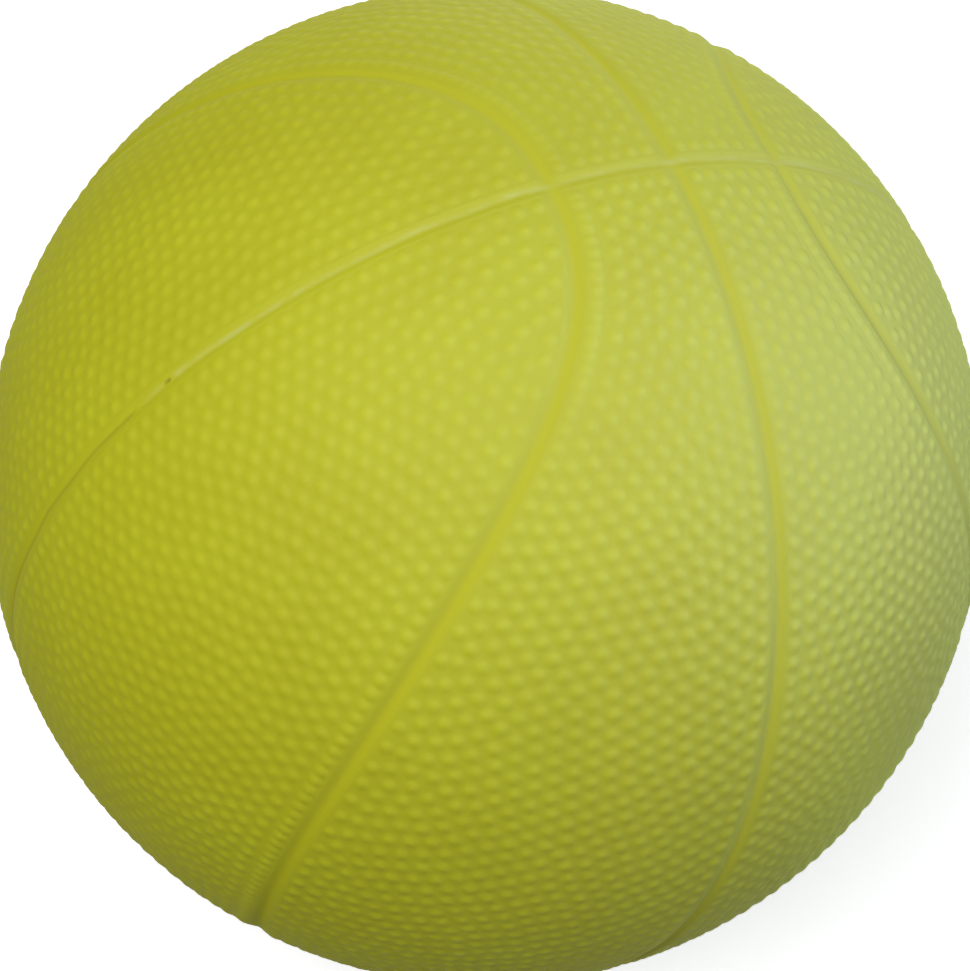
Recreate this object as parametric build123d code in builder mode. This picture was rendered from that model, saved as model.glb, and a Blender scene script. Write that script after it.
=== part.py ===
"""Dodgeball: an inflated moulded-rubber ball with eight pebbled cover panels between recessed seams.

The ball is laid up from the inside out: a bladder with its valve, a nylon winding, a rubber carcass,
and a cover of panels with seam strips between them. All lengths are in millimetres.

Frame: the origin is the centre of the ball. The parting seam lies in the plane y = 0 and the cross seam in
the plane x = 0, so they cross at the top (+Z) and the bottom. One closed curved seam runs round each of the
+X and -X sides. The valve is at the back (+Y), on the cross seam.
"""

from build123d import *
import os
from math import cos, pi, sin

os.makedirs("parts", exist_ok=True)

# Ball and its layers, from the outside in
ball_diameter = 216.0
channel_depth = 0.8
strip_thickness = 0.6
carcass_wall = 0.45
winding_wall = 0.35
bladder_wall = 0.7
bond_gap = 0.1

# Seams: the channel, and how far the curved seams stay from the cross seam, measured along the ball
channel_width = 3.8
curved_seam_gap_at_top = 26.4
curved_seam_gap_at_front = 86.7
curved_seam_squareness = 2.25
curved_seam_facets = 72

# Valve: plug, the pad it shows in, the housing that holds it and the patch round the housing
needle_hole_radius = 1.0
needle_funnel_depth = 0.6
plug_stem_radius = 3.4
plug_stem_length = 18.5
plug_tip_chamfer = 1.2
plug_head_radius = 4.5
plug_head_recess = 0.1
plug_clearance = 0.06
plug_end_gap = 0.5
valve_pad_radius = 9.0
housing_wall = 3.0
housing_floor_thickness = 1.5
housing_floor_hole_radius = 1.6
housing_flange_radius = 17.0
housing_flange_thickness = 1.0
patch_radius = 22.0
patch_thickness = 0.5

# Radii of the layers
ball_radius = ball_diameter / 2
strip_outer_radius = ball_radius - channel_depth
panel_inner_radius = strip_outer_radius - strip_thickness
carcass_radius = panel_inner_radius - bond_gap
winding_radius = carcass_radius - carcass_wall - bond_gap
bladder_radius = winding_radius - winding_wall - bond_gap
bladder_inner_radius = bladder_radius - bladder_wall
patch_outer_radius = bladder_inner_radius - bond_gap
flange_outer_radius = patch_outer_radius - patch_thickness - bond_gap

# Edges of the strips and panels, measured from a seam's centre line
strip_edge = channel_width / 2
panel_edge = strip_edge + bond_gap

# Heights along the valve's axis, from the centre of the ball
plug_head_top = ball_radius - plug_head_recess
plug_shoulder = panel_inner_radius
plug_tip = plug_shoulder - plug_stem_length
housing_floor_top = plug_tip - plug_end_gap
housing_bottom = housing_floor_top - housing_floor_thickness
housing_bore_radius = plug_stem_radius + plug_clearance
housing_radius = housing_bore_radius + housing_wall
neck_hole_radius = housing_radius + bond_gap
pad_hole_radius = plug_head_radius + plug_clearance
pad_opening_radius = valve_pad_radius + bond_gap

# Plane across the valve's axis at the ball's centre, facing out through the valve
valve_plane = Plane(origin=(0, 0, 0), x_dir=(1, 0, 0), z_dir=(0, 1, 0))

# A cutting block larger than the ball, and how far out the seam pyramids reach
block = 4 * ball_radius
pyramid_height = 1.05 * ball_radius


def save(piece, node):
    """Label a finished piece and write it under its node's name."""
    piece.label = node
    export_step(piece, f"parts/{node}.step")


def curved_seam(around):
    """Direction from the ball's centre to the right-hand curved seam, at an angle around the +X axis.

    The seam is a superellipse in polar angles about +X, long towards the top and bottom.
    """
    half_length = pi / 2 - curved_seam_gap_at_top / ball_radius
    half_width = pi / 2 - curved_seam_gap_at_front / ball_radius
    wide = abs(cos(around) / half_width) ** curved_seam_squareness
    tall = abs(sin(around) / half_length) ** curved_seam_squareness
    reach = (wide + tall) ** (-1 / curved_seam_squareness)
    return Vector(cos(reach), sin(reach) * cos(around), sin(reach) * sin(around))


def beside_curved_seam(around, offset):
    """Direction to a point beside the curved seam, offset along the ball's surface away from +X."""
    step = 0.001
    here = curved_seam(around)
    along = curved_seam(around + step) - curved_seam(around - step)
    outward = along.cross(here).normalized()
    turn = offset / ball_radius
    return here * cos(turn) + outward * sin(turn)


def inside_curved_seam(offset):
    """Pyramid from the ball's centre with many flat sides that pass beside the right-hand curved seam.

    Its sides are radial, so every edge that it cuts stands square to the ball's surface.
    """
    rim = []
    for index in range(curved_seam_facets):
        ray = beside_curved_seam(2 * pi * (index + 0.5) / curved_seam_facets, offset)
        rim.append(ray * (pyramid_height / ray.X))
    faces = [Face(Wire.make_polygon(rim))]
    for corner, next_corner in zip(rim, rim[1:] + rim[:1]):
        faces.append(Face(Wire.make_polygon([(0, 0, 0), corner, next_corner])))
    return Solid(Shell(faces)).fix()


def keep_half(half, edge):
    """In a part block: keep what lies past the parting seam's edge, at the front (-1) or the back (+1)."""
    with Locations((0, half * (edge + block / 2), 0)):
        Box(block, block, block, mode=Mode.INTERSECT)


def keep_right(edge):
    """In a part block: keep what lies past the cross seam's edge on the +X side."""
    with Locations((edge + block / 2, 0, 0)):
        Box(block, block, block, mode=Mode.INTERSECT)


def shell(outer_radius, inner_radius):
    """In a part block: a whole spherical shell."""
    Sphere(outer_radius)
    Sphere(inner_radius, mode=Mode.SUBTRACT)


def valve_cylinder(radius, mode, start=0.0, length=block):
    """In a part block: a cylinder on the valve's axis, from a height above the ball's centre outwards."""
    with Locations(valve_plane.offset(start)):
        Cylinder(radius, length, align=(Align.CENTER, Align.CENTER, Align.MIN), mode=mode)


def save_both_sides(piece, node, half_name):
    """Write a right-hand piece, and its mirror image for the left-hand side."""
    save(piece, f"{node}_right_{half_name}")
    with BuildPart() as left_piece:
        mirror(piece, about=Plane.YZ)
    save(left_piece.part, f"{node}_left_{half_name}")


# Bladder: butyl balloon, open only where the valve's neck comes through
with BuildPart() as bladder:
    shell(bladder_radius, bladder_inner_radius)
    valve_cylinder(neck_hole_radius, Mode.SUBTRACT)
save(bladder.part, "bladder")

# Patch: a disc that stiffens the bladder's wall round the valve, inside
with BuildPart() as bladder_patch:
    shell(patch_outer_radius, patch_outer_radius - patch_thickness)
    valve_cylinder(patch_radius, Mode.INTERSECT)
    valve_cylinder(neck_hole_radius, Mode.SUBTRACT)
save(bladder_patch.part, "bladder_patch")

# Valve housing: a rubber cup with a flange under the patch, and a neck that ends flush with the carcass
with BuildPart() as valve_housing:
    shell(flange_outer_radius, flange_outer_radius - housing_flange_thickness)
    valve_cylinder(housing_flange_radius, Mode.INTERSECT)
    valve_cylinder(housing_radius, Mode.ADD, housing_bottom)
    Sphere(carcass_radius, mode=Mode.INTERSECT)
    valve_cylinder(housing_bore_radius, Mode.SUBTRACT, housing_floor_top)
    valve_cylinder(housing_floor_hole_radius, Mode.SUBTRACT)
save(valve_housing.part, "valve_housing")

# Winding: a layer of nylon thread laid over the bladder
with BuildPart() as nylon_winding:
    shell(winding_radius, winding_radius - winding_wall)
    valve_cylinder(neck_hole_radius, Mode.SUBTRACT)
save(nylon_winding.part, "nylon_winding")

# Carcass: the rubber coat that the cover is cured onto
with BuildPart() as carcass:
    shell(carcass_radius, carcass_radius - carcass_wall)
    valve_cylinder(neck_hole_radius, Mode.SUBTRACT)
save(carcass.part, "carcass")

# Valve pad: the plain round patch of cover that the plug's head sits in
with BuildPart() as valve_pad:
    shell(ball_radius, panel_inner_radius)
    valve_cylinder(valve_pad_radius, Mode.INTERSECT)
    valve_cylinder(pad_hole_radius, Mode.SUBTRACT)
save(valve_pad.part, "valve_pad")

# Valve plug: a soft mushroom plug, pierced for the needle and pulled out when it is replaced
with BuildPart() as valve_plug:
    with BuildSketch(Plane.XY):
        with BuildLine():
            Polyline(
                (needle_hole_radius, plug_tip),
                (plug_stem_radius - plug_tip_chamfer, plug_tip),
                (plug_stem_radius, plug_tip + plug_tip_chamfer),
                (plug_stem_radius, plug_shoulder),
                (plug_head_radius, plug_shoulder),
                (plug_head_radius, plug_head_top),
                (needle_hole_radius + needle_funnel_depth, plug_head_top),
                (needle_hole_radius, plug_head_top - needle_funnel_depth),
                close=True,
            )
        make_face()
    revolve(axis=Axis.Y)
save(valve_plug.part, "valve_plug")

# Pyramids that cut along the curved seams: the edges of the panels and of the strip
oval_panel_outline = inside_curved_seam(-panel_edge)
strip_opening = inside_curved_seam(-strip_edge)
strip_outline = inside_curved_seam(strip_edge)
band_panel_opening = inside_curved_seam(panel_edge)

for half_name, half in (("front", -1), ("back", 1)):
    # Oval panels: half of the space inside a curved seam
    with BuildPart() as oval_panel:
        shell(ball_radius, panel_inner_radius)
        add(oval_panel_outline, mode=Mode.INTERSECT)
        keep_half(half, panel_edge)
    save_both_sides(oval_panel.part, "panel_oval", half_name)

    # Curved strips: the floor of the curved seam's channel
    with BuildPart() as curved_strip:
        shell(strip_outer_radius, panel_inner_radius)
        add(strip_outline, mode=Mode.INTERSECT)
        add(strip_opening, mode=Mode.SUBTRACT)
        keep_half(half, panel_edge)
    save_both_sides(curved_strip.part, "strip_curved", half_name)

    # Band panels: from a curved seam to the cross seam, notched for the valve pad at the back
    with BuildPart() as band_panel:
        shell(ball_radius, panel_inner_radius)
        add(band_panel_opening, mode=Mode.SUBTRACT)
        keep_half(half, panel_edge)
        keep_right(panel_edge)
        valve_cylinder(pad_opening_radius, Mode.SUBTRACT)
    save_both_sides(band_panel.part, "panel_band", half_name)

# Parting strip: a whole ring, the floor of the channel where the two halves of the mould meet
strip_middle_radius = panel_inner_radius + strip_thickness / 2
with BuildPart() as parting_strip:
    with BuildSketch(Plane.XY):
        with Locations((strip_middle_radius, 0)):
            Rectangle(strip_thickness, channel_width)
    revolve(axis=Axis.Y)
save(parting_strip.part, "strip_parting_ring")

# Cross strips: one at the front, and two at the back that stop at the valve pad
with BuildPart() as cross_ring:
    with BuildSketch(Plane.XY):
        with Locations((0, strip_middle_radius)):
            Rectangle(channel_width, strip_thickness)
    revolve(axis=Axis.X)

with BuildPart() as cross_strip_front:
    add(cross_ring.part)
    keep_half(-1, panel_edge)
save(cross_strip_front.part, "strip_cross_front")

with BuildPart() as cross_strip_upper:
    add(cross_ring.part)
    keep_half(1, panel_edge)
    valve_cylinder(pad_opening_radius, Mode.SUBTRACT)
    with Locations((0, 0, block / 2)):
        Box(block, block, block, mode=Mode.INTERSECT)
save(cross_strip_upper.part, "strip_cross_back_upper")

with BuildPart() as cross_strip_lower:
    mirror(cross_strip_upper.part, about=Plane.XY)
save(cross_strip_lower.part, "strip_cross_back_lower")
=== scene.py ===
"""Dodgeball: the looks of an inflated ball of moulded rubber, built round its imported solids, in metres."""

import bpy
import numpy as np
from mathutils import Matrix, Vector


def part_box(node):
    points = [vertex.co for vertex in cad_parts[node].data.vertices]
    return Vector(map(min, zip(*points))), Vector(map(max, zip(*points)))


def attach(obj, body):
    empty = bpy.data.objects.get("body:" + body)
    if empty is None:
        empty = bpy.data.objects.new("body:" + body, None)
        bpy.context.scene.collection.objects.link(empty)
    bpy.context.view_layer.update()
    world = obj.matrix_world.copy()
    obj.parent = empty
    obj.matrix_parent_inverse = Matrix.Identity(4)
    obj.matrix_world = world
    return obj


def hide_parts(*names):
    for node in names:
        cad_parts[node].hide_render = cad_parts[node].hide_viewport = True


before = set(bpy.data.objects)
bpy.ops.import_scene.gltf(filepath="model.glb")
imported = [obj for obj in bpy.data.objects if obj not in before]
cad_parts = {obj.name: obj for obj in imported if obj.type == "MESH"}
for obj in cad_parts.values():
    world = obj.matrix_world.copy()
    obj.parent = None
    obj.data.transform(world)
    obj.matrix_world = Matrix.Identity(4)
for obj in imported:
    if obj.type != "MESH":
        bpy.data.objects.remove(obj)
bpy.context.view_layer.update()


# Bladder, patch and valve housing
# The bladder is a balloon of black butyl rubber, dusted with talc. Its patch and the valve housing are cured
# to it from inside. A whole ball hides all three, so they keep their CAD shapes.


def put(tree, kind, inputs=None, **settings):
    """Add a shader node. Settings are its properties; an input is linked where its value is a socket."""
    node = tree.nodes.new(kind)
    for name, value in settings.items():
        setattr(node, name, value)
    for name, value in (inputs or {}).items():
        if isinstance(value, bpy.types.NodeSocket):
            tree.links.new(value, node.inputs[name])
        else:
            node.inputs[name].default_value = value
    return node


def new_group(name, inputs, outputs):
    """Start a shader node group with float sockets. Returns its tree, its input node and its output node."""
    tree = bpy.data.node_groups.new(name, "ShaderNodeTree")
    for socket in inputs:
        tree.interface.new_socket(socket, in_out="INPUT", socket_type="NodeSocketFloat")
    for socket in outputs:
        tree.interface.new_socket(socket, in_out="OUTPUT", socket_type="NodeSocketFloat")
    return tree, put(tree, "NodeGroupInput"), put(tree, "NodeGroupOutput")


def build_cured_rubber():
    """Group for any cured rubber: cloudy patches as a mask from 0 to 1, and a fine grain as a height."""
    tree, given, made = new_group("cured_rubber", ("Cloud Scale", "Grain Scale"), ("Cloud", "Grain"))
    place = put(tree, "ShaderNodeTexCoord").outputs["Object"]
    cloud = put(
        tree,
        "ShaderNodeTexNoise",
        {"Vector": place, "Scale": given.outputs["Cloud Scale"], "Detail": 5.0, "Roughness": 0.6},
    )
    spread = put(
        tree,
        "ShaderNodeMapRange",
        {"Value": cloud.outputs["Fac"], "From Min": 0.3, "From Max": 0.7},
        interpolation_type="SMOOTHSTEP",
    )
    grain = put(
        tree,
        "ShaderNodeTexNoise",
        {"Vector": place, "Scale": given.outputs["Grain Scale"], "Detail": 3.0, "Roughness": 0.55},
    )
    tree.links.new(spread.outputs["Result"], made.inputs["Cloud"])
    tree.links.new(grain.outputs["Fac"], made.inputs["Grain"])
    return tree


cured_rubber = build_cured_rubber()


def mix_colour(tree, share, first, second):
    """Colour socket between two colours, each a socket or a fixed colour."""
    mix = put(tree, "ShaderNodeMix", {0: share, 6: first, 7: second}, data_type="RGBA")
    return mix.outputs[2]


def new_material(name):
    """Start a material made of nodes. Returns it and its tree."""
    material = bpy.data.materials.new(name)
    material.use_nodes = True
    return material, material.node_tree


def plain_rubber(name, dark, pale, roughness):
    """Material for a plain rubber piece: two close colours in cloudy patches, and a fine grain."""
    cloud_scale = 40.0
    grain_scale = 1500.0
    grain_depth = 0.00004
    material, tree = new_material(name)
    skin = put(
        tree,
        "ShaderNodeGroup",
        {"Cloud Scale": cloud_scale, "Grain Scale": grain_scale},
        node_tree=cured_rubber,
    )
    bump = put(
        tree,
        "ShaderNodeBump",
        {"Height": skin.outputs["Grain"], "Distance": grain_depth, "Strength": 0.5},
    )
    shader = tree.nodes["Principled BSDF"]
    shader.inputs["Roughness"].default_value = roughness
    shader.inputs["Specular IOR Level"].default_value = 0.3
    tree.links.new(mix_colour(tree, skin.outputs["Cloud"], dark, pale), shader.inputs["Base Color"])
    tree.links.new(bump.outputs["Normal"], shader.inputs["Normal"])
    return material


def dress(node, material):
    """Give a carried-over CAD node its material."""
    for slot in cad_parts[node].material_slots:
        slot.material = material


butyl_black = (0.012, 0.012, 0.013, 1.0)
talc_grey = (0.06, 0.06, 0.058, 1.0)
patch_grey = (0.03, 0.03, 0.03, 1.0)
housing_black = (0.018, 0.017, 0.016, 1.0)
dress("bladder", plain_rubber("talced_butyl", butyl_black, talc_grey, roughness=0.7))
dress("bladder_patch", plain_rubber("patch_butyl", butyl_black, patch_grey, roughness=0.6))
dress("valve_housing", plain_rubber("housing_rubber", housing_black, talc_grey, roughness=0.55))


# Nylon winding
# A layer of fine off-white nylon thread, wound over the bladder in every direction and held by latex.
# It keeps its CAD shell; the threads are three crossing sets of bands in its material.


def wound_nylon():
    """Material: the highest of three sets of crossing bands gives the threads' height and colour."""
    thread_scale = 330.0
    thread_height = 0.00012
    thread_turns = ((0.3, 0.9, 0.0), (1.2, 0.2, 1.1), (0.5, 1.4, 2.3))
    nylon_shade = (0.38, 0.35, 0.27, 1.0)
    nylon_light = (0.74, 0.71, 0.62, 1.0)
    material, tree = new_material("wound_nylon")
    place = put(tree, "ShaderNodeTexCoord").outputs["Object"]
    height = None
    for turn in thread_turns:
        lay = put(tree, "ShaderNodeMapping", {"Vector": place, "Rotation": turn})
        bands = put(
            tree,
            "ShaderNodeTexWave",
            {"Vector": lay.outputs["Vector"], "Scale": thread_scale, "Distortion": 1.2, "Detail": 1.0},
        )
        if height is None:
            height = bands.outputs["Fac"]
        else:
            height = put(
                tree, "ShaderNodeMath", {0: height, 1: bands.outputs["Fac"]}, operation="MAXIMUM"
            ).outputs["Value"]
    bump = put(tree, "ShaderNodeBump", {"Height": height, "Distance": thread_height})
    shader = tree.nodes["Principled BSDF"]
    shader.inputs["Roughness"].default_value = 0.55
    tree.links.new(mix_colour(tree, height, nylon_shade, nylon_light), shader.inputs["Base Color"])
    tree.links.new(bump.outputs["Normal"], shader.inputs["Normal"])
    return material


dress("nylon_winding", wound_nylon())


# Carcass
# A thin calendered coat of grey rubber over the winding, which the yellow cover is cured onto.
# The cover hides it, so it keeps its CAD shell.
carcass_dark = (0.05, 0.05, 0.048, 1.0)
carcass_pale = (0.09, 0.088, 0.082, 1.0)
dress("carcass", plain_rubber("carcass_grey", carcass_dark, carcass_pale, roughness=0.65))


# Seam channels
# Strips of the yellow cover rubber, cured to the carcass between the panels, form the floors of the seams.
# The two halves of the mould met along the parting seam, which keeps a thin trimmed line of flash.
oval_low, oval_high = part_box("panel_oval_right_back")
panel_edge = oval_low.y
ball_radius = float(np.hypot(oval_high.x, oval_low.y))
bond_gap = panel_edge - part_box("strip_cross_front")[1].x
cover_inner_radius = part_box("carcass")[1].z + bond_gap
pad_opening_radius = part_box("valve_pad")[1].x + bond_gap
pebble_height = 0.00030
skin_level = ball_radius - pebble_height
channel_depth = 0.00049
channel_half_width = 0.0024
parting_depth_share = 0.7
parting_half_width = 0.0019
pad_groove_share = 0.6
pad_groove_half_width = 0.0012
seam_gap_at_top = 0.0264
seam_gap_at_front = 0.0867
seam_squareness = 2.25
seam_half_length = np.pi / 2 - seam_gap_at_top / ball_radius
seam_half_width = np.pi / 2 - seam_gap_at_front / ball_radius


def seam_reach(around):
    """Angle from the X axis out to the curved seam: a superellipse, long towards the top and the bottom."""
    wide = np.abs(np.cos(around) / seam_half_width) ** seam_squareness
    tall = np.abs(np.sin(around) / seam_half_length) ** seam_squareness
    return (wide + tall) ** (-1 / seam_squareness)


def seam_slant(around):
    """Length of a step straight out from the X axis per step square to the curved seam.

    It is the root of one plus the squared slope of the reach, taken over the sine of the reach.
    """
    step = 1e-4
    slope = (seam_reach(around + step) - seam_reach(around - step)) / (2 * step)
    return np.sqrt(1 + (slope / np.sin(seam_reach(around))) ** 2)


def ray(polar, around):
    """Unit vectors at an angle from +X, and at an angle around it counted from +Y towards +Z."""
    return np.stack(
        (np.cos(polar), np.sin(polar) * np.cos(around), np.sin(polar) * np.sin(around)), axis=-1
    )


def seam_distances(rays):
    """Distances along the ball to the parting, cross and curved seams. Negative inside a curved seam."""
    x, y, z = np.moveaxis(rays, -1, 0)
    around = np.arctan2(z, y)
    polar = np.arccos(np.clip(np.abs(x), 0, 1))
    curved = (polar - seam_reach(around)) / seam_slant(around)
    return ball_radius * np.arcsin(np.abs(y)), ball_radius * np.arcsin(np.abs(x)), ball_radius * curved


def valley(distance, half_width):
    """Share of a channel's depth: a raised cosine, full on the centre line and none past the half width."""
    return 0.5 + 0.5 * np.cos(np.pi * np.clip(np.abs(distance) / half_width, 0, 1))


def from_valve(rays):
    """Distance along the ball from the valve's axis, +Y."""
    return ball_radius * np.arccos(np.clip(rays[..., 1], -1, 1))


def channel_share(rays):
    """Depth of the channels as a share: what each leaves of the skin is multiplied, so crossings merge."""
    parting, cross, curved = seam_distances(rays)
    left = 1 - parting_depth_share * valley(parting, parting_half_width)
    left = left * (1 - valley(cross, channel_half_width))
    left = left * (1 - valley(curved, channel_half_width))
    ring = valley(from_valve(rays) - pad_opening_radius, pad_groove_half_width)
    return 1 - left * (1 - pad_groove_share * ring)


def grid_faces(rows, columns, wrap_rows=False, wrap_columns=False):
    """Corner numbers of the quads between points numbered row by row."""
    row, column = np.meshgrid(
        np.arange(rows if wrap_rows else rows - 1),
        np.arange(columns if wrap_columns else columns - 1),
        indexing="ij",
    )
    next_row = (row + 1) % rows
    next_column = (column + 1) % columns
    corners = (
        row * columns + column,
        next_row * columns + column,
        next_row * columns + next_column,
        row * columns + next_column,
    )
    return np.stack(corners, axis=-1).reshape(-1, 4)


def volume_of(points, face_groups):
    """Volume of a closed mesh: a sixth of the sum of each fan triangle's box product."""
    total = 0.0
    for faces in face_groups:
        corners = points[faces]
        first = np.cross(corners[:, 1:-1], corners[:, 2:])
        total += np.einsum("fk,ftk->", corners[:, 0], first) / 6
    return total


def make_piece(name, points, face_groups, material, node, body="ball", slot="cover_rubber", **values):
    """Closed mesh that stands for a CAD node, faces outwards, with one float attribute per named value."""
    crease_angle = np.radians(50)
    if volume_of(points, face_groups) < 0:
        face_groups = [faces[:, ::-1] for faces in face_groups]
    corners = np.concatenate([faces.ravel() for faces in face_groups])
    sizes = np.concatenate([np.full(len(faces), faces.shape[1]) for faces in face_groups])
    mesh = bpy.data.meshes.new(name)
    mesh.vertices.add(len(points))
    mesh.vertices.foreach_set("co", points.astype(np.float32).ravel())
    mesh.loops.add(len(corners))
    mesh.loops.foreach_set("vertex_index", corners.astype(np.int32))
    mesh.polygons.add(len(sizes))
    mesh.polygons.foreach_set("loop_start", (np.cumsum(sizes) - sizes).astype(np.int32))
    mesh.update(calc_edges=True)
    for label, value in values.items():
        attribute = mesh.attributes.new(label, "FLOAT", "POINT")
        attribute.data.foreach_set("value", value.astype(np.float32).ravel())
    mesh.set_sharp_from_angle(angle=crease_angle)
    mesh.materials.append(material)
    piece = bpy.data.objects.new(name, mesh)
    bpy.context.scene.collection.objects.link(piece)
    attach(piece, body)
    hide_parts(node)


def yellow_rubber(name, with_flash):
    """Cover material: yellow in cloudy patches, with painted shade in the hollows, polished on the pebbles'
    tops.

    The attributes relief and channel are the heights of the pebbles and the depth of the channels, and they
    also set the painted shade in the hollows and the channels. Flash is the parting line: a painted
    highlight where it stands above zero, broken up by a fine noise, and painted shade where it is torn.
    """
    deep_yellow = (0.51, 0.51, 0.005, 1.0)
    pale_yellow = (0.56, 0.58, 0.010, 1.0)
    # Painted shade: the darker yellow that the hollows between the pebbles are mixed towards.
    hollow_shade_yellow = (0.46, 0.465, 0.002, 1.0)
    # Painted shade in the channels: a slightly darker, deeper yellow.
    channel_shade_yellow = (0.525, 0.52, 0.002, 1.0)
    # Painted highlight: the pale, whitish yellow along the flash line.
    painted_flash_highlight = (0.56, 0.58, 0.11, 1.0)
    # Painted shade: the dark line where the flash is torn out and at the nick.
    torn_groove_shade = (0.20, 0.19, 0.02, 1.0)
    cloud_scale = 28.0
    grain_scale = 1400.0
    grain_depth = 0.00005
    highlight_noise_scale = 220.0
    hollow_roughness = 0.74
    pebble_roughness = 0.69
    channel_roughness = 0.82
    material, tree = new_material(name)
    skin = put(
        tree,
        "ShaderNodeGroup",
        {"Cloud Scale": cloud_scale, "Grain Scale": grain_scale},
        node_tree=cured_rubber,
    )
    relief = put(tree, "ShaderNodeAttribute", attribute_name="relief").outputs["Fac"]
    channel = put(tree, "ShaderNodeAttribute", attribute_name="channel").outputs["Fac"]
    colour = mix_colour(tree, skin.outputs["Cloud"], deep_yellow, pale_yellow)
    # Painted shade in the hollows: the lower the pebble relief, the more of the darker yellow; no relief
    # gets half of it.
    raised = put(tree, "ShaderNodeMapRange", {"Value": relief, "To Min": 0.5, "To Max": 1.0})
    colour = mix_colour(tree, raised.outputs["Result"], hollow_shade_yellow, colour)
    # Painted shade: the channels are mixed towards the deeper yellow as they sink.
    sunk = put(tree, "ShaderNodeMapRange", {"Value": channel, "To Max": 0.9})
    colour = mix_colour(tree, sunk.outputs["Result"], colour, channel_shade_yellow)
    if with_flash:
        flash = put(tree, "ShaderNodeAttribute", attribute_name="flash").outputs["Fac"]
        place = put(tree, "ShaderNodeTexCoord").outputs["Object"]
        # Painted highlight on the flash line: a noise breaks it up, and it is mixed in where the flash
        # stands up.
        highlight_noise = put(tree, "ShaderNodeTexNoise", {"Vector": place, "Scale": highlight_noise_scale, "Detail": 4.0})
        highlight_breakup = put(
            tree,
            "ShaderNodeMapRange",
            {"Value": highlight_noise.outputs["Fac"], "From Min": 0.35, "From Max": 0.6, "To Min": 0.35},
        )
        share = put(tree, "ShaderNodeMath", {0: flash, 1: highlight_breakup.outputs["Result"]}, operation="MULTIPLY")
        colour = mix_colour(tree, share.outputs["Value"], colour, painted_flash_highlight)
        # Painted shade along the torn-out groove and the nick, where the flash height is below zero.
        torn = put(tree, "ShaderNodeMath", {0: flash, 1: -1.0}, operation="MULTIPLY", use_clamp=True)
        colour = mix_colour(tree, torn.outputs["Value"], colour, torn_groove_shade)
    worn = put(
        tree,
        "ShaderNodeMapRange",
        {"Value": relief, "To Min": hollow_roughness, "To Max": pebble_roughness},
    )
    rough = put(
        tree,
        "ShaderNodeMapRange",
        {"Value": channel, "To Min": worn.outputs["Result"], "To Max": channel_roughness},
    )
    bump = put(
        tree,
        "ShaderNodeBump",
        {"Height": skin.outputs["Grain"], "Distance": grain_depth, "Strength": 0.6},
    )
    shader = tree.nodes["Principled BSDF"]
    shader.inputs["Specular IOR Level"].default_value = 0.22
    tree.links.new(colour, shader.inputs["Base Color"])
    tree.links.new(rough.outputs["Result"], shader.inputs["Roughness"])
    tree.links.new(bump.outputs["Normal"], shader.inputs["Normal"])
    return material


cover_yellow = yellow_rubber("cover_yellow", with_flash=False)
parting_yellow = yellow_rubber("parting_yellow", with_flash=True)
flash_half_width = 0.0011
torn_width_share = 0.6
flash_height = 0.00006
flash_seed = 4
strip_tuck = 0.00006
strip_drop = 0.00002
strip_columns = 45
strip_spacing = 0.0009
bend_row_gain = 1.1
half_turns = {
    "right_back": np.array((1, 1, 1)),
    "right_front": np.array((1, -1, -1)),
    "left_back": np.array((-1, 1, -1)),
    "left_front": np.array((-1, -1, 1)),
}


def trimmed_flash(turn):
    """Height and sideways shift of the flash along the parting seam, each a run of random knots.

    The height drops below zero where the flash was torn out: along two stretches, which taper at their ends,
    and at a nick, which is a bell curve. Places along the seam are in degrees from +X towards +Z.
    """
    height_knots = 161
    lowest_trim = 0.4
    shift_knots = 71
    farthest_shift = 0.0003
    torn_stretches = ((150, 197), (318, 341))
    torn_taper = 3
    torn_depth = 0.35
    nick_place = 147.4
    nick_spread = 0.5
    nick_depth = 1.7
    full_turn = 2 * np.pi
    random = np.random.default_rng(flash_seed)
    trims = random.uniform(lowest_trim, 1.0, height_knots)
    shifts = random.uniform(-farthest_shift, farthest_shift, shift_knots)
    height = np.interp(turn, np.linspace(0, full_turn, height_knots), trims)
    shift = np.interp(turn, np.linspace(0, full_turn, shift_knots), shifts)
    degrees = np.degrees(turn)
    for start, end in torn_stretches:
        torn = np.clip((degrees - start) / torn_taper, 0, 1) * np.clip((end - degrees) / torn_taper, 0, 1)
        height = height - torn * (height + torn_depth)
    height = height - nick_depth * np.exp(-(((degrees - nick_place) / nick_spread) ** 2))
    return np.clip(height, -1, 1)[:, None], shift[:, None]


def clear_of_pad(rays):
    """Move unit vectors that lie inside the valve pad's opening straight out to its edge."""
    opening = (pad_opening_radius - strip_tuck) / ball_radius
    wide = np.hypot(rays[..., 0], rays[..., 2])
    inside = (wide < opening) & (rays[..., 1] > 0)
    moved = rays * (opening / np.where(inside, wide, opening))[..., None]
    moved[..., 1] = np.where(inside, np.sqrt(1 - opening**2), rays[..., 1])
    return moved


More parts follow.
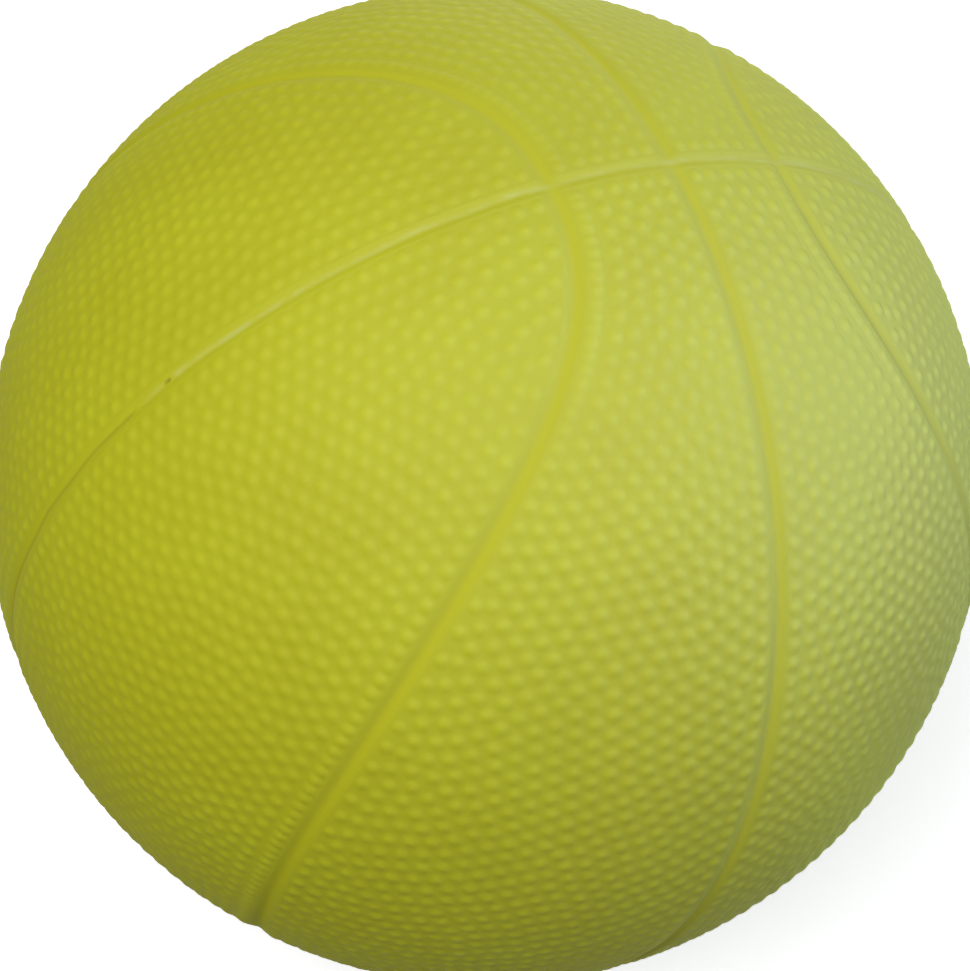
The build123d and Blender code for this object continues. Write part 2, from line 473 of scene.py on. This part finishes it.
def channel_strip(name, node, path, side, turn, flash_turn=None):
    """Strip along a seam: its profile is the channel across the seam, on a floor that lies on the carcass.

    Path holds unit vectors to the seam and side the unit vectors square to it along the ball, both before
    the half turn that takes them to their corner. The parting ring gives its angles as flash_turn, and is
    closed on itself. A strip that runs to the valve pad ends on the pad's circle.
    """
    closed = flash_turn is not None
    across = np.linspace(-1, 1, strip_columns) * (panel_edge + strip_tuck)
    lean = (across / ball_radius)[None, :, None]
    rays = clear_of_pad((path[:, None, :] * np.cos(lean) + side[:, None, :] * np.sin(lean)) * turn)
    share = channel_share(rays)
    flash = 0 * share
    if closed:
        height, shift = trimmed_flash(flash_turn)
        half_width = flash_half_width * np.where(height > 0, 1.0, torn_width_share)
        flash = height * valley(across - shift, half_width)
    edge_drop = strip_drop * (np.abs(across) > panel_edge)
    top = rays * (skin_level - channel_depth * share + flash_height * flash - edge_drop)[..., None]
    bottom = rays[:, (strip_columns - 1, strip_columns // 2, 0)] * cover_inner_radius
    loop = np.concatenate((top, bottom), axis=1)
    rows, columns = loop.shape[:2]
    faces = [grid_faces(rows, columns, closed, True)]
    if not closed:
        cap = np.arange(columns)[None, :]
        faces += [cap, cap[:, ::-1] + (rows - 1) * columns]
    padding = ((0, 0), (0, bottom.shape[1]))
    make_piece(
        name,
        loop.reshape(-1, 3),
        faces,
        parting_yellow if closed else cover_yellow,
        node,
        channel=np.pad(share, padding),
        relief=np.zeros((rows, columns)),
        flash=np.pad(flash, padding),
    )


def steps_along(angle):
    """Number of rows for an arc of the ball's surface."""
    return int(angle * ball_radius / strip_spacing)


ring = np.linspace(0, 2 * np.pi, steps_along(2 * np.pi), endpoint=False)
ring_path = np.stack((np.cos(ring), 0 * ring, np.sin(ring)), axis=-1)
ring_side = np.broadcast_to((0.0, 1.0, 0.0), ring_path.shape)
channel_strip("channel_parting_ring", "strip_parting_ring", ring_path, ring_side, np.ones(3), ring)

open_end = np.arccos((panel_edge - strip_tuck) / ball_radius)
pad_end_height = np.sqrt((pad_opening_radius - strip_tuck) ** 2 - (panel_edge + strip_tuck) ** 2)
pad_end = np.arcsin(pad_end_height / ball_radius)
for strip, start, turn in (
    ("cross_front", -open_end, half_turns["right_front"]),
    ("cross_back_upper", pad_end, half_turns["right_back"]),
    ("cross_back_lower", pad_end, half_turns["left_back"]),
):
    arc = np.linspace(start, open_end, steps_along(open_end - start))
    arc_path = ray(np.pi / 2 + 0 * arc, arc)
    arc_side = np.broadcast_to((1.0, 0.0, 0.0), arc_path.shape)
    channel_strip(f"channel_{strip}", f"strip_{strip}", arc_path, arc_side, turn)

tip = np.arccos((panel_edge - strip_tuck) / (ball_radius * np.sin(seam_half_length)))
bend = np.linspace(-tip, tip, steps_along(bend_row_gain * 2 * tip))
bend_path = ray(seam_reach(bend), bend)
bend_side = np.cross(bend_path, np.gradient(bend_path, axis=0))
bend_side = bend_side / np.linalg.norm(bend_side, axis=1, keepdims=True)
for corner, turn in half_turns.items():
    channel_strip(f"channel_curved_{corner}", f"strip_curved_{corner}", bend_path, bend_side, turn)


# Cover panels
# Eight panels of yellow rubber, moulded with a field of small round pebbles and a smooth border beside each
# channel. Four oval halves lie inside the curved seams and four bands outside them, cured to the carcass.
pebble_pitch = 0.0041
pebble_foot = 0.00172
pebble_margin = 0.0038
pebble_unevenness = 0.12
pebble_power = 1.5
pebble_seed = 7
golden_angle = np.pi * (3 - np.sqrt(5))


def pebble_spiral():
    """Unit vectors spread evenly over the ball at the pebbles' pitch: a golden-angle spiral about +X."""
    count = int(4 * np.pi * ball_radius**2 / (np.sqrt(0.75) * pebble_pitch**2))
    turn = np.arange(count) + 0.5
    return ray(np.arccos(1 - 2 * turn / count), turn * golden_angle)


def hold_in_panel(points, in_band):
    """Move points back inside the margin of the right back panel, first off its curved and cross seams."""
    around = np.arctan2(points[:, 2], points[:, 1])
    polar = np.arccos(np.clip(points[:, 0], -1, 1))
    margin = pebble_margin / ball_radius
    seam = seam_reach(around)
    if in_band:
        polar = np.clip(polar, seam + margin * seam_slant(around), np.pi / 2 - margin)
    else:
        polar = np.minimum(polar, seam - margin * seam_slant(around))
    held = ray(polar, around)
    held[:, 1] = np.maximum(held[:, 1], margin)
    return held / np.linalg.norm(held, axis=1, keepdims=True)


def settle_pebbles(in_band):
    """Pebble centres of the right back panel: a spiral's points, evened out by pushing each other apart.

    The push of two points is a bell curve of their distance. The panel's margin keeps the outer ones in.
    """
    rounds = 140
    push = 0.35
    reach = 0.5 * pebble_pitch / ball_radius
    shake_size = 0.15 * pebble_pitch / ball_radius
    spiral = pebble_spiral()
    parting, cross, curved = seam_distances(spiral)
    room = np.minimum(np.minimum(parting, cross), curved if in_band else -curved)
    inside = (room > pebble_margin - pebble_pitch / 4) & (spiral[:, 0] > 0) & (spiral[:, 1] > 0)
    points = spiral[inside]
    shake = np.random.default_rng(pebble_seed).normal(0, shake_size, points.shape)
    points = hold_in_panel(points + shake, in_band)
    for _ in range(rounds):
        weight = np.exp((points @ points.T - 1) / reach**2)
        points = points + push * (points * weight.sum(axis=1, keepdims=True) - weight @ points)
        points = hold_in_panel(points / np.linalg.norm(points, axis=1, keepdims=True), in_band)
    return points


def pebble_share(rays, centres):
    """Height of the pebbles: one less the square of the nearest one's distance over its foot, to a power.

    The rays are taken in batches, because all of them against all the centres would need too much memory.
    """
    batches = 8
    flat = rays.reshape(-1, 3)
    uneven = 1 + pebble_unevenness * np.random.default_rng(pebble_seed).uniform(-1, 1, len(centres))
    share = np.empty(len(flat))
    for part in np.array_split(np.arange(len(flat)), batches):
        closeness = flat[part] @ centres.T
        nearest = closeness.argmax(axis=1)
        squared = 2 * (1 - closeness.max(axis=1)) * ball_radius**2
        share[part] = uneven[nearest] * np.clip(1 - squared / pebble_foot**2, 0, 1) ** pebble_power
    return (share / (1 + pebble_unevenness)).reshape(rays.shape[:-1])


def graded(count, places, width, gain):
    """Numbers from 0 to 1, closer together near some places: equal shares of a density with bells there."""
    fine_steps = 4001
    line = np.linspace(0, 1, fine_steps)
    density = 1 + sum(gain * np.exp(-(((line - place) / width) ** 2)) for place in places)
    grown = np.concatenate(((0,), np.cumsum((density[1:] + density[:-1]) / 2)))
    return np.interp(np.linspace(0, 1, count), grown / grown[-1], line)


def oval_rays(rows, columns):
    """Grid of unit vectors on the right back oval half: a rectangle bent into a half disc and stretched.

    A point (u, v) of the rectangle goes to u times the root of 1 - v squared over 2, and to v times the root
    of 1 - u squared over 2. The disc's radius then becomes the reach of the panel's edge in that direction.
    """
    edge = panel_edge / ball_radius
    rounds = 6

    def stretched(u, v):
        """Unit vectors to points of the rectangle."""
        lengthwise = u * np.sqrt(1 - v**2 / 2)
        sideways = v * np.sqrt(1 - u**2 / 2)
        around = np.arctan2(lengthwise * seam_half_length, sideways * seam_half_width)
        reach = seam_reach(around) - edge * seam_slant(around)
        return ray(np.hypot(lengthwise, sideways) * reach, around)

    u = 2 * graded(rows, (0, 1), width=0.01, gain=2.0)[:, None] - 1
    v = graded(columns, (0, 1), width=0.03, gain=2.0)[None, :]
    start = np.full_like(u, edge)
    for _ in range(rounds):
        start = start * edge / stretched(u, start)[..., 1]
    return stretched(u, start + (1 - start) * v)


def band_rays(rows, columns, notched):
    """Grid of unit vectors on the right back band: lines around +X, from the curved seam to the cross seam.

    The lines stop at the parting seam, and at the back they stop at the round opening for the valve pad. A
    line runs to each corner of that opening.
    """
    edge = panel_edge / ball_radius
    opening = pad_opening_radius / ball_radius
    rounds = 5
    crowded = (0, 1)
    if notched:
        crowded += (0.5 - opening / np.pi, 0.5 + opening / np.pi)
    line = 2 * graded(rows, crowded, width=0.008, gain=2.0)[:, None] - 1
    if notched:
        notch_corner = np.arcsin(np.sqrt(opening**2 - edge**2)) / np.arccos(edge / np.sqrt(1 - edge**2))
        line[np.abs(line - notch_corner).argmin()] = notch_corner
        line[np.abs(line + notch_corner).argmin()] = -notch_corner
    share = graded(columns, (0, 1), width=0.025, gain=2.0)[None, :]
    around = line * (np.pi / 2 - edge) + 0 * share
    for _ in range(rounds):
        side = edge
        if notched:
            side = np.maximum(edge, np.sqrt(np.clip(opening**2 - np.sin(around) ** 2, 0, None)))
        start = seam_reach(around) + edge * seam_slant(around)
        polar = start + (np.arccos(side) - start) * share
        around = line * np.arccos(edge / np.sin(polar))
    return ray(polar, around)


def cover_panel(name, node, rays, centres, turn):
    """Closed panel: the pebbled skin over a coarse inner face, joined by a wall along each edge."""
    every_row = 10
    every_column = 12
    rows, columns = rays.shape[:2]
    pebbles = pebble_share(rays, centres)
    share = channel_share(rays * turn)
    skin = rays * (skin_level + pebble_height * pebbles - channel_depth * share)[..., None]
    inner = rays[::every_row, ::every_column] * cover_inner_radius
    inner_rows, inner_columns = inner.shape[:2]
    outer_number = np.arange(rows * columns).reshape(rows, columns)
    inner_number = rows * columns + np.arange(inner_rows * inner_columns).reshape(inner_rows, inner_columns)

    def wall(outer_line, inner_line, every):
        """Faces between an edge of the skin and an edge of the inner face, one for each inner step."""
        first = np.arange(len(inner_line) - 1)
        upper = outer_line[first[:, None] * every + np.arange(every + 1)[None, :]]
        return np.column_stack((upper, inner_line[first + 1], inner_line[first]))

    faces = [
        grid_faces(rows, columns),
        rows * columns + grid_faces(inner_rows, inner_columns)[:, ::-1],
        wall(outer_number[:, 0], inner_number[:, 0], every_row)[:, ::-1],
        wall(outer_number[:, -1], inner_number[:, -1], every_row),
        wall(outer_number[0], inner_number[0], every_column),
        wall(outer_number[-1], inner_number[-1], every_column)[:, ::-1],
    ]
    points = np.concatenate((skin.reshape(-1, 3), inner.reshape(-1, 3))) * turn
    spare = np.zeros(inner.shape[0] * inner.shape[1])
    make_piece(
        name,
        points,
        faces,
        cover_yellow,
        node,
        relief=np.concatenate((pebbles.ravel(), spare)),
        channel=np.concatenate((share.ravel(), spare)),
    )


oval_rows = 481
band_rows = 561
panel_columns = 145
oval_grid = oval_rays(oval_rows, panel_columns)
oval_pebbles = settle_pebbles(in_band=False)
band_pebbles = settle_pebbles(in_band=True)
beyond_pad = from_valve(band_pebbles) > pad_opening_radius + pad_groove_half_width + pebble_foot
for corner, turn in half_turns.items():
    cover_panel(f"cover_oval_{corner}", f"panel_oval_{corner}", oval_grid, oval_pebbles, turn)
    notched = corner.endswith("back")
    band_grid = band_rays(band_rows, panel_columns, notched)
    panel_pebbles = band_pebbles[beyond_pad] if notched else band_pebbles
    cover_panel(f"cover_band_{corner}", f"panel_band_{corner}", band_grid, panel_pebbles, turn)


# Valve pad
# A smooth round patch of the yellow cover on the cross seam at the back, with a hole for the valve plug.
# It is moulded with the cover and cured to the carcass, and a small groove runs round it.


def lathe(profile, steps):
    """Points of a closed profile of (distance from the valve's axis, height along it), carried round +Y."""
    angle = np.linspace(0, 2 * np.pi, steps, endpoint=False)[:, None]
    distance, height = np.asarray(profile).T
    rings = np.stack(
        (distance * np.cos(angle), height + 0 * angle, distance * np.sin(angle)), axis=-1
    )
    return rings.reshape(-1, 3), [grid_faces(steps, len(profile), True, True)]


plug_low, plug_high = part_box("valve_plug")
plug_head_radius = plug_high.x
pad_clearance = 0.00006
pad_hole_radius = plug_head_radius + pad_clearance
pad_lip = 0.00025
pad_outer_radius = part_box("valve_pad")[1].x
pad_steps = 128
pad_rings = 40
lip_steps = 6
# The pad's relief of a half gives it a quarter of the hollows' painted shade, and a roughness between theirs
# and the tops'.
pad_relief = 0.5
pad_reach = np.linspace(pad_hole_radius + pad_lip, pad_outer_radius, pad_rings)
pad_groove = pad_groove_share * valley(pad_reach - pad_opening_radius, pad_groove_half_width)
pad_top = np.sqrt((skin_level - channel_depth * pad_groove) ** 2 - pad_reach**2)
pad_bottom = np.sqrt(cover_inner_radius**2 - pad_outer_radius**2)
lip_turn = np.linspace(0, np.pi / 2, lip_steps)[:-1]
lip = np.column_stack(
    (
        pad_hole_radius + pad_lip * (1 - np.cos(lip_turn)),
        pad_top[0] - pad_lip * (1 - np.sin(lip_turn)),
    )
)
pad_profile = np.concatenate(
    (
        ((pad_hole_radius, pad_bottom),),
        lip,
        np.column_stack((pad_reach, pad_top)),
        ((pad_outer_radius, pad_bottom),),
    )
)
pad_points, pad_faces = lathe(pad_profile, pad_steps)
pad_level = np.tile(np.concatenate((np.zeros(1 + len(lip)), pad_groove, np.zeros(1))), pad_steps)
make_piece(
    "cover_valve_pad",
    pad_points,
    pad_faces,
    cover_yellow,
    "valve_pad",
    relief=np.full(len(pad_points), pad_relief),
    channel=pad_level,
)


# Valve plug
# A soft mushroom of paler rubber, pushed into the housing with a little soap and pulled out to replace it.
# Its head sits just below the skin, with a funnel that leads the needle into the hole down its stem.
needle_radius = 0.0010
funnel_depth = 0.0006
stem_radius = 0.0034
tip_chamfer = 0.0012
head_dish = 0.00012
edge_round = 0.00025
round_steps = 5
plug_steps = 96
shoulder = cover_inner_radius
plug_corners = np.array(
    (
        (needle_radius, plug_low.y),
        (stem_radius - tip_chamfer, plug_low.y),
        (stem_radius, plug_low.y + tip_chamfer),
        (stem_radius, shoulder),
        (plug_head_radius, shoulder),
        (plug_head_radius, plug_high.y),
        (needle_radius + funnel_depth, plug_high.y - head_dish),
        (needle_radius, plug_high.y - head_dish - funnel_depth),
    )
)


def rounded(corners, reach, steps):
    """Closed profile with eased corners: each is a parabola that leaves and meets its sides at a reach."""
    before = np.roll(corners, 1, axis=0) - corners
    after = np.roll(corners, -1, axis=0) - corners
    before = corners + reach * before / np.linalg.norm(before, axis=1, keepdims=True)
    after = corners + reach * after / np.linalg.norm(after, axis=1, keepdims=True)
    t = np.linspace(0, 1, steps)[None, :, None]
    eased = before[:, None] * (1 - t) ** 2 + 2 * corners[:, None] * t * (1 - t) + after[:, None] * t**2
    return eased.reshape(-1, 2)


plug_points, plug_faces = lathe(rounded(plug_corners, edge_round, round_steps), plug_steps)
plug_dark = (0.40, 0.39, 0.05, 1.0)
plug_pale = (0.48, 0.47, 0.09, 1.0)
valve_rubber = plain_rubber("valve_rubber", plug_dark, plug_pale, roughness=0.5)
make_piece(
    "rubber_valve_plug", plug_points, plug_faces, valve_rubber, "valve_plug", "valve_plug", "valve_rubber"
)


# Floor, light and camera
# A plain white floor, a soft key close to the camera, weak fills from the right and from behind, and two
# panels that only show as sheen. A long lens stands at the photograph's angle. The floor and the world are
# white to the camera and in reflections.
pure_white = (1.0, 1.0, 1.0, 1.0)
floor_paint_grey = (0.7, 0.7, 0.7, 1.0)
floor_bounce_grey = (0.08, 0.08, 0.08, 1.0)
floor_lift_strength = 0.7
ambient_strength = 0.14
floor_half = 4.0
floor_level = -ball_radius
floor_corners = np.array(((-1, -1), (1, -1), (1, 1), (-1, 1))) * floor_half
floor_mesh = bpy.data.meshes.new("floor")
floor_mesh.from_pydata(np.column_stack((floor_corners, np.full(4, floor_level))), [], [(0, 1, 2, 3)])
floor = bpy.data.objects.new("floor", floor_mesh)
bpy.context.scene.collection.objects.link(floor)


def seen_directly(tree):
    """Socket that is 1 for camera, glossy and transmission rays, and 0 for the rest."""
    path = put(tree, "ShaderNodeLightPath")
    shiny = put(
        tree,
        "ShaderNodeMath",
        {0: path.outputs["Is Glossy Ray"], 1: path.outputs["Is Transmission Ray"]},
        operation="MAXIMUM",
    )
    both = put(
        tree,
        "ShaderNodeMath",
        {0: path.outputs["Is Camera Ray"], 1: shiny.outputs["Value"]},
        operation="MAXIMUM",
    )
    return both.outputs["Value"]


floor_white, floor_tree = new_material("floor_white")
floor_tree.nodes.clear()
floor_paint = put(floor_tree, "ShaderNodeBsdfDiffuse", {"Color": floor_paint_grey})
floor_lift = put(floor_tree, "ShaderNodeEmission", {"Color": pure_white, "Strength": floor_lift_strength})
floor_shown = put(floor_tree, "ShaderNodeAddShader", {0: floor_paint.outputs[0], 1: floor_lift.outputs[0]})
floor_dim = put(floor_tree, "ShaderNodeBsdfDiffuse", {"Color": floor_bounce_grey})
floor_mix = put(
    floor_tree,
    "ShaderNodeMixShader",
    {0: seen_directly(floor_tree), 1: floor_dim.outputs[0], 2: floor_shown.outputs[0]},
)
put(floor_tree, "ShaderNodeOutputMaterial", {"Surface": floor_mix.outputs["Shader"]})
floor_mesh.materials.append(floor_white)

world = bpy.data.worlds.new("studio")
bpy.context.scene.world = world
world.use_nodes = True
world_strength = put(
    world.node_tree,
    "ShaderNodeMapRange",
    {"Value": seen_directly(world.node_tree), "To Min": ambient_strength, "To Max": 1.0},
)
world_tone = world.node_tree.nodes["Background"]
world_tone.inputs["Color"].default_value = pure_white
world.node_tree.links.new(world_strength.outputs["Result"], world_tone.inputs["Strength"])

toward_viewer = np.array((-0.4859, -0.4410, 0.7546))
picture_up = np.array((0.1492, 0.8088, 0.5688))
picture_right = np.cross(picture_up, toward_viewer)
camera_distance = 5.30 * ball_radius
photo_side = 971
focal_pixels = 2601


def soft_lamp(name, direction, distance, size, power, colour=(1.0, 1.0, 1.0), sheen_only=False):
    """Square area lamp that faces the ball, from a direction given rightwards, upwards and to the viewer."""
    back = direction @ np.stack((picture_right, picture_up, toward_viewer))
    back = back / np.linalg.norm(back)
    lamp = bpy.data.lights.new(name, "AREA")
    lamp.size = size
    lamp.energy = power
    lamp.color = colour
    holder = bpy.data.objects.new(name, lamp)
    bpy.context.scene.collection.objects.link(holder)
    holder.visible_camera = False
    holder.visible_diffuse = not sheen_only
    side = np.cross((0.0, 0.0, 1.0), back)
    side = side / np.linalg.norm(side)
    turn = np.column_stack((side, np.cross(back, side), back))
    holder.matrix_world = Matrix.Translation(back * distance) @ Matrix(turn.tolist()).to_4x4()


window_blue = (0.75, 0.97, 1.0)
soft_lamp("front_panel", (-0.2, 0.2, 0.96), distance=1.4, size=0.5, power=14.0)
soft_lamp("back_fill", (0.15, 0.81, -0.51), distance=1.6, size=0.6, power=6.5)
soft_lamp("side_fill", (0.92, 0.1, 0.2), distance=1.2, size=0.9, power=1.8, colour=window_blue)
soft_lamp("front_sheen", (0.05, 0.2, 0.95), distance=1.4, size=0.8, power=30.0, sheen_only=True)
soft_lamp(
    "side_window",
    (0.9, 0.2, 0.32),
    distance=1.2,
    size=1.4,
    power=100.0,
    colour=window_blue,
    sheen_only=True,
)

lens = bpy.data.cameras.new("photo_camera")
lens.sensor_width = 36.0
lens.lens = lens.sensor_width * focal_pixels / photo_side
camera = bpy.data.objects.new("photo_camera", lens)
bpy.context.scene.collection.objects.link(camera)
camera_turn = np.column_stack((picture_right, picture_up, toward_viewer))
camera.matrix_world = (
    Matrix.Translation(toward_viewer * camera_distance) @ Matrix(camera_turn.tolist()).to_4x4()
)
bpy.context.scene.camera = camera
bpy.context.scene.view_settings.view_transform = "Standard"
